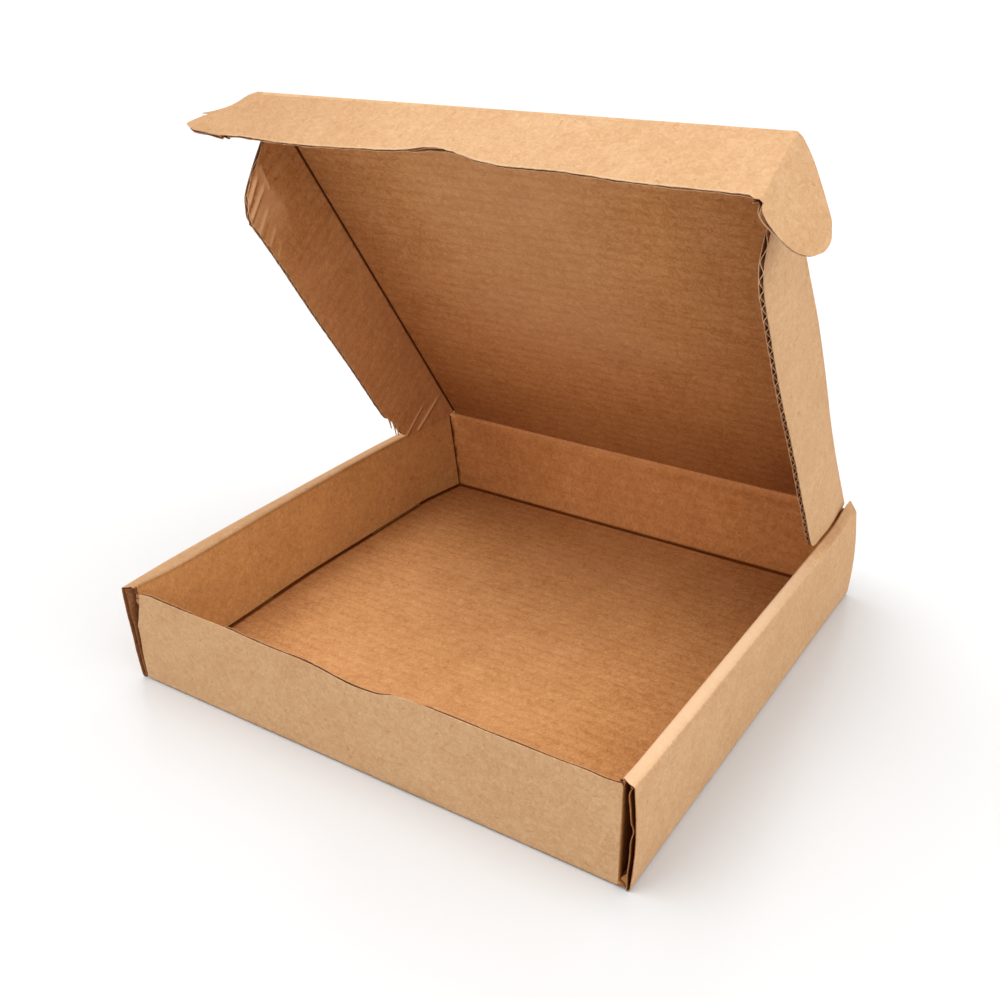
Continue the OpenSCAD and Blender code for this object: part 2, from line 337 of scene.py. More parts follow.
def shader(name, light, dark, deep, fleck, bump, ridges):
    """Kraft paper, mottled from dark to light, with curled fibres, flecks and the ridges of the flutes."""
    material = bpy.data.materials.new(name)
    material.use_nodes = True
    tree = material.node_tree
    nodes = tree.nodes
    links = tree.links
    surface = nodes["Principled BSDF"]
    surface.inputs["Roughness"].default_value = 0.82
    space = nodes.new("ShaderNodeTexCoord").outputs["Object"]
    flat = nodes.new("ShaderNodeUVMap")
    flat.uv_map = "flat"

    def mapped(source, scale):
        node = nodes.new("ShaderNodeMapping")
        node.inputs["Scale"].default_value = scale
        links.new(source, node.inputs["Vector"])
        return node.outputs["Vector"]

    def grain(source, scale, detail, rough=0.6, distortion=0.0):
        node = nodes.new("ShaderNodeTexNoise")
        node.inputs["Scale"].default_value = scale
        node.inputs["Detail"].default_value = detail
        node.inputs["Roughness"].default_value = rough
        node.inputs["Distortion"].default_value = distortion
        links.new(source, node.inputs["Vector"])
        return node.outputs["Fac"]

    def maths(kind, a, b, clamp=False):
        node = nodes.new("ShaderNodeMath")
        node.operation = kind
        node.use_clamp = clamp
        for value, socket in ((a, node.inputs[0]), (b, node.inputs[1])):
            if isinstance(value, (int, float)):
                socket.default_value = value
            else:
                links.new(value, socket)
        return node.outputs[0]

    def ranged(value, low, high, to_low=0.0, to_high=1.0):
        node = nodes.new("ShaderNodeMapRange")
        node.inputs["From Min"].default_value = low
        node.inputs["From Max"].default_value = high
        node.inputs["To Min"].default_value = to_low
        node.inputs["To Max"].default_value = to_high
        links.new(value, node.inputs["Value"])
        return node.outputs["Result"]

    def mixed(factor, a, b, kind="MIX"):
        node = nodes.new("ShaderNodeMix")
        node.data_type = "RGBA"
        node.blend_type = kind
        links.new(factor, node.inputs["Factor"])
        for value, socket in ((a, node.inputs["A"]), (b, node.inputs["B"])):
            if isinstance(value, tuple):
                socket.default_value = (*value, 1)
            else:
                links.new(value, socket)
        return node.outputs["Result"]

    def curled(scale, width):
        """Thin winding lines, 1 at their middle."""
        winding = maths("ABSOLUTE", maths("SUBTRACT", grain(space, scale, 1.5, 0.5, 0.6), 0.5), 0)
        return ranged(winding, width, 0)

    blotch = grain(space, 45, 4, 0.65)
    mottle = grain(space, 330, 3, 0.6, 1.2)
    fine = grain(space, 1150, 2)
    tone = maths("ADD", maths("MULTIPLY", blotch, 0.5), mottle)
    tone = maths("ADD", tone, maths("MULTIPLY", fine, 0.6))
    spot = ranged(tone, 1.05 - 0.27, 1.05 + 0.27)
    shade = mixed(spot, dark, light)
    curls = 0.35 if ridges else 0.16
    fibres = maths("MULTIPLY", curled(300, 0.02), ranged(grain(space, 120, 1), 0.45, 0.62, 0.0, curls))
    shade = mixed(fibres, shade, dark)
    pale = maths("MULTIPLY", curled(410, 0.016), ranged(grain(space, 90, 1), 0.5, 0.65, 0.0, curls * 0.8))
    shade = mixed(pale, shade, tuple(min(1.0, c * 1.22) for c in light))
    flecks = ranged(grain(mapped(space, (1, 1, 1.6)), 330, 1, 0.5, 0.8), 0.68, 0.76)
    shade = mixed(maths("MULTIPLY", flecks, 0.5), shade, fleck)
    bits = ranged(grain(space, 620, 0), 0.80, 0.84)
    shade = mixed(maths("MULTIPLY", bits, 0.3), shade, tuple(min(1.0, c * 1.3) for c in light))
    height = maths("ADD", maths("MULTIPLY", mottle, 0.7), maths("MULTIPLY", fine, 0.5))
    if ridges:
        wave = nodes.new("ShaderNodeTexWave")
        wave.wave_type = "BANDS"
        wave.bands_direction = "Y"
        wave.wave_profile = "SIN"
        wave.inputs["Scale"].default_value = 100 / PITCH / 20 * 2 * math.pi
        wave.inputs["Distortion"].default_value = 1.1
        wave.inputs["Detail"].default_value = 2
        wave.inputs["Detail Scale"].default_value = 1.4
        links.new(flat.outputs["UV"], wave.inputs["Vector"])
        dashes = ranged(grain(mapped(flat.outputs["UV"], (14, 60, 1)), 1, 3, 0.6, 0.3), 0.42, 0.62, 0.15, 1.0)
        lines = maths("MULTIPLY", maths("POWER", wave.outputs["Fac"], 3), dashes)
        shade = mixed(maths("MULTIPLY", lines, ridges), shade, tuple(c * 0.8 for c in dark))
        height = maths("ADD", height, maths("MULTIPLY", lines, -0.9 * ridges))
    # The tone attribute multiplies the paper by its deep colour, and below 0 mixes it paler; it carries
    # painted shade and painted light as well as the paper's own marks.
    tone = nodes.new("ShaderNodeAttribute")
    tone.attribute_name = "tone"
    shade = mixed(maths("MULTIPLY", tone.outputs["Fac"], 1.0, True), shade, deep, "MULTIPLY")
    links.new(maths("SUBTRACT", 0.25, maths("MULTIPLY", tone.outputs["Fac"], 0.25, True)),
              surface.inputs["Specular IOR Level"])
    # worn is the paler mix, used for painted light as well as for torn and pale paper.
    worn = maths("MULTIPLY", tone.outputs["Fac"], -1.0, True)
    shade = mixed(worn, shade, tuple(c * k + 0.08 for c, k in zip(light, (1.1, 1.15, 1.2))))
    links.new(shade, surface.inputs["Base Color"])
    relief = nodes.new("ShaderNodeBump")
    relief.inputs["Strength"].default_value = bump
    relief.inputs["Distance"].default_value = 0.0004
    links.new(height, relief.inputs["Height"])
    links.new(relief.outputs["Normal"], surface.inputs["Normal"])
    return material


PAPER = [
    shader("kraft_outside", (0.59, 0.365, 0.195), (0.48, 0.265, 0.122), (0.4, 0.28, 0.18),
           (0.4, 0.18, 0.075), 0.45, 0),
    shader("kraft_inside", (0.62, 0.315, 0.122), (0.41, 0.165, 0.046), (0.34, 0.2, 0.12),
           (0.30, 0.1, 0.027), 0.5, 0.4),
    shader("kraft_cut_edge", (0.62, 0.42, 0.25), (0.4, 0.22, 0.11), (0.5, 0.36, 0.26),
           (0.3, 0.14, 0.06), 0.4, 0),
    # The fluting's deep colour is near black, for painted shade in the slots between liners.
    shader("kraft_fluting", (0.49, 0.22, 0.088), (0.28, 0.095, 0.03), (0.14, 0.07, 0.05),
           (0.2, 0.08, 0.03), 0.5, 0),
    # The outside liner where it turns in down the inner panels: an inside-like copy of the paper, made
    # brighter as painted light on the inner wall.
    shader("kraft_turned_in_painted_light", (0.69, 0.36, 0.132), (0.48, 0.23, 0.072), (0.36, 0.22, 0.14),
           (0.34, 0.12, 0.035), 0.45, 0),
    shader("kraft_back_wall", (0.79, 0.375, 0.135), (0.54, 0.215, 0.062), (0.3, 0.18, 0.11),
           (0.4, 0.13, 0.035), 0.45, 0.22),
]

# The lid between its creases, with a shoulder beyond each side flap at the front

lid = plane(HINGE, X, LID_B, LID_H)
SHOULDER = 242.3
EDGE = SIDE_AXIS - STOP
CORNER = EAR_AXIS - STOP
# The right side's crease has gone soft and runs a little inwards from straight
right_bow = through([(0, 1.3), (11, 1.5), (49, 2.1), (78, 1.9), (104, 1.2), (131, 0.7), (152, 0.6),
                     (177, 1.2), (192, 1.5), (225, 1), (242, 0.2)])


def lid_span(b):
    return (-EDGE, EDGE - right_bow(b)) if b < SHOULDER else (-CORNER, CORNER)


def lid_warp(a, b):
    inside = smooth(EDGE - abs(a), 1, 30) * smooth(b, STOP, 30) * smooth(LID_L - b, 6, 36)
    return inside * (0.5 * ruffle(a, b, 90, 1) + 0.06 * ruffle(a, b, 14, 2))


def skewed(rows):
    """The rows, with those beyond the shoulder brought to the slanting front crease."""
    slant = math.tan(math.radians(FRONT_SKEW))
    length = LID_L - STOP - SHOULDER
    return [[(a, b + (a - EAR_AXIS) * slant * max(0.0, (b - SHOULDER) / length)) for a, b in row]
            for row in rows]


lid_rows = (steps(STOP, SHOULDER - 0.1, PITCH / 8) + [SHOULDER + 0.1]
            + steps(SHOULDER + 1, LID_L - STOP, PITCH / 8))
WIDE = [i / 24 for i in range(25)]
lid_piece = Piece("lid_board")
liner(lid_piece, skewed(spread(lid_rows, lid_span, WIDE)), lid, -1, lid_warp)
inner_rows = [min(max(b, INSET), LID_L - INSET) for b in lid_rows]


def lid_inner_span(b):
    left, right = lid_span(b)
    return left + 0.8, right - 0.8


def lid_painted_light_and_shade(a, b):
    """Painted light in the middle of the lid's inside, and painted shade by the hinge and at its sides."""
    pale = 0.3 * smooth(EDGE - abs(a + 10), 20, 110) * smooth(b, 30, 130)
    hinge_side = 0.28 * smooth(-b, -80, -5) * (0.4 + 0.6 * smooth(abs(a), 30, 100))
    left_front = 0.12 * smooth(-a, 50, 115) * smooth(b, 120, 190)
    return 0.08 - pale + hinge_side + 0.15 * smooth(a, 50, 115) + left_front


liner(lid_piece, skewed(spread(inner_rows, lid_inner_span, WIDE)), lid, 1, lid_warp, tone=lid_painted_light_and_shade)
across = [0, 0.02, 0.5, 0.98, 1]
medium(lid_piece, skewed(spread(steps(STOP, LID_L - STOP, PITCH / 10), lid_span, across)), lid,
       keep=lambda a, b: abs(a) > EDGE - 6)
lid_piece.ride("lid_panel", "lid_panel")

# The front flap

front = plane(FRONT, FLAP_A, FLAP_B, FLAP_H)
# The outside's tone at its left end, and on the left ear
LEFT_TONE = 0.24
# Its free edge: how far it is from the crease
front_edge = through([(-124.3, 29.9), (-113, 29.9), (-91, 31.1), (-64, 30.5), (-34.6, 28.6), (-26.4, 27.2),
                      (-18, 24.9), (-10.9, 24.6), (-3.8, 26.1), (4.5, 28.4), (10.6, 29.9), (16.8, 30.7),
                      (19.8, 31.4), (28, 31.4), (46, 31.3), (78, 32.9), (99, 33), (121.5, 33.2),
                      (123, 33.8), (124.3, 34.7)])


def front_rows(recess, seed, fractions=FRACTIONS, begin=STOP):
    rows = []
    wide = CORNER - begin + STOP
    for x in steps(-wide, 117, 1.6) + steps(117.4, wide, 0.6):
        edge = front_edge(x) - recess(x) + 0.2 * wander(x, 3, seed)
        rows.append([(x, begin + (edge - begin) * f) for f in fractions])
    return rows


def front_warp(a, b):
    bumps = 0.35 * ruffle(a, b, 60, 3) + 0.1 * ruffle(a, b, 11, 4)
    return smooth(b, STOP, 10) * smooth(CORNER - abs(a), 0, 12) * bumps


def crushed(a, b):
    """1 where the flap's liners are crushed together along its free edge."""
    shut = 1 - 0.95 * smooth(a, -27, -22) * smooth(-a, 6, 12)
    shut *= 0.85 + 0.15 * wander(a, 9, 9)
    return shut * smooth(b, front_edge(a) - 4.5, front_edge(a) - 0.4)


front_piece = Piece("front_flap_board")
liner(front_piece, front_rows(lambda x: 0, 5), front, -1, front_warp,
      tone=lambda a, b: LEFT_TONE * smooth(-a, 10, 124) - 0.4 * smooth(b, front_edge(a) - 1, front_edge(a)))
liner(front_piece, front_rows(lambda x: -0.1 + 0.35 * wander(x, 6, 8), 6, begin=INSET), front, 1,
      lambda a, b: front_warp(a, b) - 1.5 * crushed(a, b))
medium(front_piece, front_rows(lambda x: 0.8 + 0.5 * wander(x, 7, 7), 7, [i / 60 for i in range(61)]), front,
       lambda a, b: front_warp(a, b) - 0.65 * crushed(a, b), lambda a, b, wave: wave * (1 - crushed(a, b)))
front_piece.ride("front_flap", "front_flap")

# The side flaps, open at their free edge across the flutes


def flap_plane(side, splay=0.0):
    a = turned(LID_H, X * side, splay)
    h = turned(-X * side, LID_H, splay)
    return plane(HINGE + X * side * SIDE_AXIS, a, LID_B, h)


# The side flaps start this far from the hinge, and reach this far at each distance from it
REAR = 3.4
right_reach = through([(3.4, 3.6), (5, 5), (7, 7), (9.9, 12), (15.5, 19.9), (20.9, 27.4), (26.2, 35),
                       (29.2, 39.4), (32, 42.4), (36, 44.2), (48.5, 44.6), (67, 44.3), (118, 43.2),
                       (157, 43.3), (200, 42.2), (212, 41.6), (218.7, 40.6), (224, 38.6), (228, 35.6),
                       (232, 30.5), (235, 25), (236.5, 19), (237.5, 6)])
left_reach = through([(3.4, 1.8), (5.2, 2.6), (6.3, 6.2), (12.1, 14), (20.1, 25.6), (25.3, 33), (28, 36.6),
                      (31.1, 39.4), (35, 41.5), (40, 42.4), (47, 42.4), (51, 42.6), (54.2, 43.4), (55, 44.6),
                      (60, 45.5), (100, 45.6), (150, 45.7), (189, 45.6), (212, 45.8), (214.6, 46.2),
                      (215.2, 45.4), (218, 45.2), (222, 42.5), (226, 39), (230, 31), (236, 16), (240, 5),
                      (242, 2)])
FINE = [i / 32 for i in range(33)]


def flap_rows(reach, front_end, recess, size, fractions=FINE, begin=STOP):
    bs = steps(REAR, front_end, size)
    return spread(bs, lambda b: (begin, max(begin + 0.3, reach(b) - recess(b))), fractions)


def side_flap(name, side, reach, front_end, warp, inner_warp, tone=None):
    place = flap_plane(side)
    piece = Piece(name)
    liner(piece, flap_rows(reach, front_end, lambda b: 0.12 * wander(b, 3, 11), PITCH / 8), place, -1, warp)
    liner(piece, flap_rows(reach, front_end, lambda b: 0.1 + 0.2 * wander(b, 4, 12), PITCH / 8, begin=INSET),
          place, 1, inner_warp, tone=tone)
    medium(piece, flap_rows(reach, front_end, lambda b: 0.15 + 0.2 * wander(b, 5, 13), PITCH / 12, FRACTIONS),
           place, warp, thick=0.32)
    return piece


def right_warp(a, b):
    bowed = right_bow(b) * (1 - smooth(a, 0, 26))
    return bowed + smooth(a, STOP, 12) * (0.5 * ruffle(a, b, 70, 21) + 0.06 * ruffle(a, b, 13, 22))


# Creases across the left flap: their ends, width, height and tone. The tone paints highlight
# where a crease stands up and shade where it sinks.
CREASES = [((27.4, 231), (39.5, 226.5), 1.6, -0.55, 0.5), ((28.6, 228.5), (41, 223), 1.6, 0.6, -0.7),
           ((28.9, 226), (43, 219.5), 1.3, -0.6, 0.6), ((27.5, 223), (43.5, 217), 2.0, 0.6, -0.8),
           ((30.6, 220), (45.6, 214.5), 1.3, -0.5, 0.6), ((24.6, 231), (27.2, 219), 1.3, 0.45, -0.45),
           ((33, 213), (45, 208.5), 1.7, 0.35, -0.5), ((37, 208), (45, 204.5), 1.4, -0.35, 0.35),
           ((36, 203), (45, 199), 1.6, 0.3, -0.45), ((39, 194), (45, 191), 1.4, 0.25, -0.35),
           ((5, 25.6), (31, 26.6), 1.5, 0.75, -0.75), ((5, 23.4), (30, 24.4), 1.3, -0.3, 0.5),
           ((16, 34.2), (41, 33.2), 1.2, 0.45, -0.6), ((16, 32.4), (41, 31.4), 1.1, -0.35, 0.6)]


def creased(a, b, which):
    """The height, or the tone where which is 4, that the creases give the left flap at a point."""
    total = 0.0
    for crease in CREASES:
        (a0, b0), (a1, b1), width = crease[:3]
        if abs(b - (b0 + b1) / 2) > 12:
            continue
        long = (a1 - a0) ** 2 + (b1 - b0) ** 2
        t = min(1.0, max(0.0, ((a - a0) * (a1 - a0) + (b - b0) * (b1 - b0)) / long))
        off = math.hypot(a - a0 - t * (a1 - a0), b - b0 - t * (b1 - b0))
        total += 1.35 * crease[which] * (1 - smooth(off, 0, width)) * smooth(t, -0.05, 0.2)
    return total


def left_warp(a, b):
    bumps = 0.6 * ruffle(a, b, 60, 23) + 0.1 * ruffle(a, b, 12, 24)
    return smooth(a, STOP, 12) * bumps


def left_inner_warp(a, b):
    return left_warp(a, b) + creased(a, b, 3)


# Painted light and shade on the left flap's inside: the creases' painted highlight and shade, a paler facet
# near its front end, and paler towards the hinge.
def left_flap_painted_light_and_shade(a, b):
    facet = smooth(a, 23.5, 26.5) * smooth(b, 192, 212) * smooth(-b, -238, -232)
    return creased(a, b, 4) + 0.1 - 0.22 * smooth(-b, -215, -150) - 0.45 * facet


right_piece = side_flap("right_side_flap_board", 1, right_reach, 237.5, right_warp, right_warp)
right_piece.ride("right_side_flap", "right_side_flap")
left_piece = side_flap("left_side_flap_board", -1, left_reach, 242, left_warp, left_inner_warp, left_flap_painted_light_and_shade)
# Slivers of torn liner at its lower tip: start, end, and how far each stands off
SLIVERS = [((43.9, 57), (46.9, 49.5), 0.6), ((42.4, 53), (47.2, 43.8), 1.5), ((41.6, 48), (45.6, 40.2), 0.4)]
for start, end, off in SLIVERS:
    rows = [[(t, w) for w in (-1, 0, 1)] for t in steps(0, 1, 0.1)]

    def sliver(t, w, h):
        wide = (1 - 0.7 * t) * w
        a = start[0] + (end[0] - start[0]) * t ** 1.4 + wide * 0.8
        b = start[1] + (end[1] - start[1]) * t + wide * 0.6
        return flap_plane(-1)(a, b, 0.95 + h + off * t * t)

    left_piece.sheet(rows, sliver, 0, 0.22, (CUT, INSIDE, CUT), tone=lambda t, w: -0.3 - 0.4 * t)
left_piece.ride("left_side_flap", "left_side_flap")

# The ears


def ear_plane(side, fold):
    a = turned(FLAP_A * side, FLAP_H, fold)
    h = turned(FLAP_H, -FLAP_A * side, fold)
    return plane(FRONT + FLAP_A * side * EAR_AXIS, a, FLAP_B, h)


# How far the ears start and end from their crease, at each distance from the front crease
ear_far = through([(-0.6, 2.4), (0.2, 4.6), (1.4, 7.3), (3.6, 11.2), (7.1, 16.2), (15.8, 27.2), (18.5, 29),
                   (22.9, 31.1), (26, 31.3), (29.5, 30.6), (32.5, 28.9), (34.9, 27.3), (37.2, 24.5),
                   (38.9, 21.5), (40.2, 17.5), (40.5, 14)])
ear_near = through([(-0.6, 1.5), (35, 1.5), (37, 2), (38.2, 3), (39.2, 5.2), (40.1, 8.7), (40.4, 11.4),
                    (40.5, 12.5)])
torn_far = through([(-0.6, 2.6), (0.4, 4.8), (1.3, 6.4), (6.5, 9.8), (9.4, 12.8), (11.6, 17.5), (13.4, 23.5),
                    (13.9, 29), (14.2, 26), (14.6, 22), (16.2, 24.5), (18.4, 28.2), (21.6, 31.4),
                    (23.7, 28.5), (26.2, 22.6), (28.2, 12.3), (28.9, 9.4), (29.8, 3.6), (30.2, 1.8)])


def ear(name, place, ends, near, far, tone=None):
    """An ear, crushed thin towards its lower tip."""

    def thin(a, b):
        edge = min(far(b) - a, a - near(b) if b > 33 else 9, ends[1] - b)
        return 0.9 * (1 - smooth(edge, 0.3, 4.5)) * smooth(a, 4, 12) * smooth(b, 24, 32)

    piece = Piece(name)
    for side in (-1, 1):

        def reach(b):
            worn = 0.2 + 0.3 * wander(b, 2, 31) if side > 0 else 0
            return near(b), max(near(b) + 0.2, far(b) - worn)

        liner(piece, spread(steps(*ends, 0.7), reach), place, side,
              lambda a, b: -1.45 * thin(a, b) if side > 0 else 0.0, tone=tone if side < 0 else None)

    def fluted(b):
        return near(b), max(near(b) + 0.1, far(b) - 0.4)

    medium(piece, spread(steps(*ends, PITCH / 12), fluted), place, lambda a, b: -0.65 * thin(a, b),
           lambda a, b, wave: wave * (1 - thin(a, b)))
    return piece


right_ear = ear("right_ear_board", ear_plane(1, RIGHT_EAR_FOLD), (-0.6, 40.5), ear_near, ear_far)
right_ear.ride("right_ear", "right_ear")
left_ear = ear("left_ear_board", ear_plane(-1, LEFT_EAR_FOLD), (-0.6, 30.2), lambda b: 1.5, torn_far,
               lambda a, b: LEFT_TONE)
left_ear.ride("left_ear", "left_ear")

# The tray

floor_piece = Piece("tray_floor_board")
SLOT_X = (INNER_X - LOCK_GAP, INNER_X + 2 * HALF + LOCK_GAP)
SLOT_Y = (LOCK_Y - LOCK_HALF - LOCK_GAP, LOCK_Y + LOCK_HALF + LOCK_GAP)


def floor_kept(a, b):
    return not (SLOT_X[0] < abs(a) < SLOT_X[1] and SLOT_Y[0] < abs(b) < SLOT_Y[1])


def with_stops(first, last, size, stops):
    """Steps that also stop at the given places."""
    marks = [first] + sorted(s for s in stops if first < s < last) + [last]
    values = []
    for i in range(len(marks) - 1):
        values += steps(marks[i], marks[i + 1], size)[:-1]
    return values + [last]


# How far the walls' panels stand out of upright at their top, and the inner panels at their foot
right_out = through([(-128, -0.1), (-110, 0.2), (90, 0), (128, -1)])
right_in = through([(-128, -0.4), (-118, 0), (128, 0)])
left_out = through([(-128.3, 3.4), (-101, 5.3), (-60, 6.4), (-30, 6.6), (58, 6.8), (100, 5.4), (128.3, 3.6)])
left_in = through([(-128.3, 1.4), (-102, -0.3), (-30, 2.6), (49, 3.8), (100, 2.2), (125, 1.6)])
left_foot = through([(-128, -0.4), (-77, -1.2), (-45, 0), (-18, 1), (30, 0.6), (80, 0.2), (94, 0.4),
                     (108, -1.6), (126, -4.6)])
slot_stops = [s * y for s in (-1, 1) for y in SLOT_Y]
side_stops = [s * x for s in (-1, 1) for x in SLOT_X] + [s * x for s in (-1, 1) for x in range(117, 127)]
floor = plane(Vector((0, 0, HALF)), X, Y, Z)


def floor_rows(x, y, size):
    xs = with_stops(-x, x, 12, side_stops)
    return [[(a, b) for a in xs] for b in with_stops(-y, y, size, slot_stops)]


def seam(a, b):
    """1 on the floor along the walls' feet, where the floor is sunk a little and given painted shade."""
    foot = INNER_X + (left_foot(b) if a < 0 else 0)
    worn = 0.35 * wander(a + b, 14, 71)
    return max(smooth(abs(a), foot - 2.2 + worn, foot - 0.9), smooth(abs(b), 123.9 + worn, 125.2))


# Painted light and shade on the floor's inside: paler towards the front, deeper towards the right and the
# back corners under the lid, with painted shade along the walls' feet.
def floor_painted_light_and_shade(a, b):
    pale = 0.05 + 0.07 * smooth(60 - b, 0, 130) - 0.2 * smooth(a, 30, 110)
    deep = 0.3 * smooth(b, 30, 120) * smooth(abs(a - 15), 20, 110)
    along = seam(a, b)
    return along + (1 - along) * (deep - pale * smooth(124 - abs(a), 0, 60))


liner(floor_piece, floor_rows(HALF_W - FOLD_R, HALF_D - FOLD_R, 3), floor, -1, keep=floor_kept)
liner(floor_piece, floor_rows(HALF_W - 2 * HALF, HALF_D - 2 * HALF, PITCH / 8), floor, 1,
      lambda a, b: -0.25 * seam(a, b), keep=floor_kept, tone=floor_painted_light_and_shade)
medium(floor_piece, floor_rows(HALF_W - 2.6, HALF_D - 2.6, PITCH / 10), floor, keep=floor_kept)
floor_piece.ride("tray", "tray")


def left_lean(y, z):
    rise = max(0.0, (z - FOLD_R) / 47.5)
    return left_in(y) * rise + left_foot(y) * (1 - rise)


def leaning(p, a, begin=INNER_X):
    """The point p of an end wall or its tab, carried along with the left wall, from begin outwards."""
    if a < -begin:
        p.x -= max(0.0, left_lean(p.y, p.z)) * smooth(-a, begin - 30, INNER_X)
    return p


ARC = FOLD_R * math.pi / 2
# Height of the front wall's edge along it
wall_top = through([(-128, 46.9), (-123, 47.5), (-118, 48.1), (-110, 47.8), (-87, 47.4), (-69.5, 47.5),
                    (-58, 47), (-47, 46.6), (-35, 46.6), (-25, 46.5), (-14.6, 45.6), (-6, 44.4),
                    (1, 43.7), (8, 43.9), (14.6, 44.5), (18.4, 45.8), (22, 46.8), (27, 47.5), (36, 47.8),
                    (60, 47.7), (99, 47.8), (110, 48.1), (118, 47.7), (124.7, 48.4)])
# The corner tabs: radius of their crease, length, lower and upper edge, and where their crease ends
WRAP = 2.4
TAB_L = 50.0
TAB_LOW = 3.2
TAB_HIGH = 45.4
AROUND = INNER_X + WRAP * math.pi / 2
# Where the outside liner ends at the front wall's torn left end, at each height
torn = through([(1.8, 126.4), (7.6, 127.1), (13.5, 127.7), (19.6, 127.5), (23.5, 127.6), (27.3, 128),
                (30.4, 127.7), (32.3, 126.4), (35.5, 127), (37.4, 125.7), (42, 124.4), (46.7, 123.7)])


def slit_shut(x):
    """1 where the front wall's liners are crushed together at its top."""
    return min(1.0, max(0.0, 0.45 + smooth(-x, 118, 123) + smooth(-x, 68, 74) * smooth(x, -92, -86)
                        + smooth(x, 18, 27) * smooth(-x, -40, -34) + 0.2 * wander(x, 16, 61)))


def end_wall(name, side, top, warp, worn=None):
    """The front wall (side -1) or back wall (side 1), with its bottom fold and the tabs at its ends."""

    def crisp(s, z, h):
        """Round a crisp corner, s beyond its crease, into the slot behind the wall's right end."""
        if s < 0.63:
            r = 0.4 - h * (1 - 0.88 * s / 0.63)
            return Vector((INNER_X + r * math.sin(s / 0.4), -HALF_D + 0.4 - r * math.cos(s / 0.4), z))
        deep = s - 0.23
        back = smooth(deep, 6, 22)
        return Vector((INNER_X + 0.4 + 1.9 * back - h * (0.12 + 0.34 * back), -HALF_D + deep, z))

    def outer(a, b, h):
        if b < ARC:
            angle = b / FOLD_R
            r = FOLD_R - h
            return Vector((a, side * (HALF_D - FOLD_R + r * math.sin(angle)), FOLD_R - r * math.cos(angle)))
        z = FOLD_R + b - ARC
        beyond = abs(a) - INNER_X
        if beyond <= 0 or (a < 0 and side < 0):
            return Vector((a, side * (HALF_D - h + warp(a, b)), z))
        if side < 0:
            return crisp(beyond, z, h)
        right = 1 if a > 0 else -1
        if beyond < WRAP * math.pi / 2:
            angle = beyond / WRAP
            r = WRAP - h
            y = side * (HALF_D - WRAP + r * math.cos(angle))
            return leaning(Vector((right * (INNER_X + r * math.sin(angle)), y, z)), a)
        y = side * (HALF_D - WRAP - (beyond - WRAP * math.pi / 2))
        return leaning(Vector((right * (INNER_X + WRAP - h), y, z)), a)

    def inner(a, b, h):
        beyond = abs(a) - INNER_X
        if side < 0 and a > 0 and beyond > 0:
            return crisp(beyond, b, h)
        if side < 0:
            h -= (h - 0.45) * slit_shut(a) * smooth(b, 40.5, 46)
        if beyond <= 0:
            return leaning(Vector((a, side * (HALF_D - h + warp(a, b)), b)), a, 95)
        right = 1 if a > 0 else -1
        if beyond < WRAP * math.pi / 2:
            angle = beyond / WRAP
            r = max(0.05, WRAP - h * (1 - 0.45 * angle))
            y = side * (HALF_D - WRAP + r * math.cos(angle))
            return leaning(Vector((right * (INNER_X + r * math.sin(angle)), y, b)), a)
        y = side * (HALF_D - WRAP - (beyond - WRAP * math.pi / 2))
        return leaning(Vector((right * (INNER_X + WRAP - 0.46 * h), y, b)), a)

    def tab_kept(a, b):
        z = b if b < 2 else FOLD_R + b - ARC
        return abs(a) < AROUND + 0.2 or TAB_LOW < z < TAB_HIGH

    wall = Piece(name)
    reach = AROUND + TAB_L - WRAP
    tab = [AROUND - reach + (reach - AROUND) * k / 8 - AROUND for k in range(8)]
    arcs = [-AROUND + (AROUND - INNER_X) * k / 12 for k in range(12)]
    flat_part = steps(-INNER_X, INNER_X, 1.8)
    right_part = [-x for x in reversed(tab + arcs)]
    heights = [0, 0.03, 0.0335, 0.06, 0.12, 0.2, 0.3, 0.4, 0.5, 0.6, 0.7, 0.8, 0.88, 0.94, 0.955, 1]

    # Outside liner, torn along its left edge at the front
    xs = (flat_part if side < 0 else tab + arcs + flat_part) + right_part
    rows = []
    for f in heights:
        row = []
        for x in xs:
            z = FOLD_R + (top(min(max(x, -INNER_X), INNER_X)) - FOLD_R) * f
            if abs(x) > INNER_X:
                z = FOLD_R + (TAB_HIGH + 1.6 - FOLD_R) * f if f < 0.95 else z - 0.8
            a = x
            if side < 0 and x < 0:
                edge = -torn(z) - 0.12 * wander(z, 2, 47)
                a = x * (1 + (-edge / INNER_X - 1) * smooth(-x, 90, INNER_X))
            row.append((a, ARC + z - FOLD_R))
        rows.append(row)
    if side < 0:
        wall.sheet(rows, outer, 0, LINER, (OUTSIDE, FLUTING, CUT),
                   lambda a, b: a < INNER_X + 0.3 and tab_kept(a, b))
        # The corner tab beyond the front wall's right edge, with painted shade deepening into the slot behind
        # it.
        wall.sheet(rows, outer, 0, LINER, (BACK, FLUTING, CUT),
                   lambda a, b: a > INNER_X + 0.3 and tab_kept(a, b),
                   tone=lambda a, b: smooth(a, INNER_X - 1, INNER_X + 4.5))
    else:
        wall.sheet(rows, outer, 0, LINER, (OUTSIDE, FLUTING, CUT), tab_kept)
    # The bottom fold, with painted shade on its lower part, by the ground.
    low = [[(x, ARC * i / 6) for x in flat_part] for i in range(7)]
    wall.sheet(low, outer, 0, LINER, (OUTSIDE, FLUTING, CUT), tone=lambda a, b: 1 - smooth(b, 0.4, 1.7))

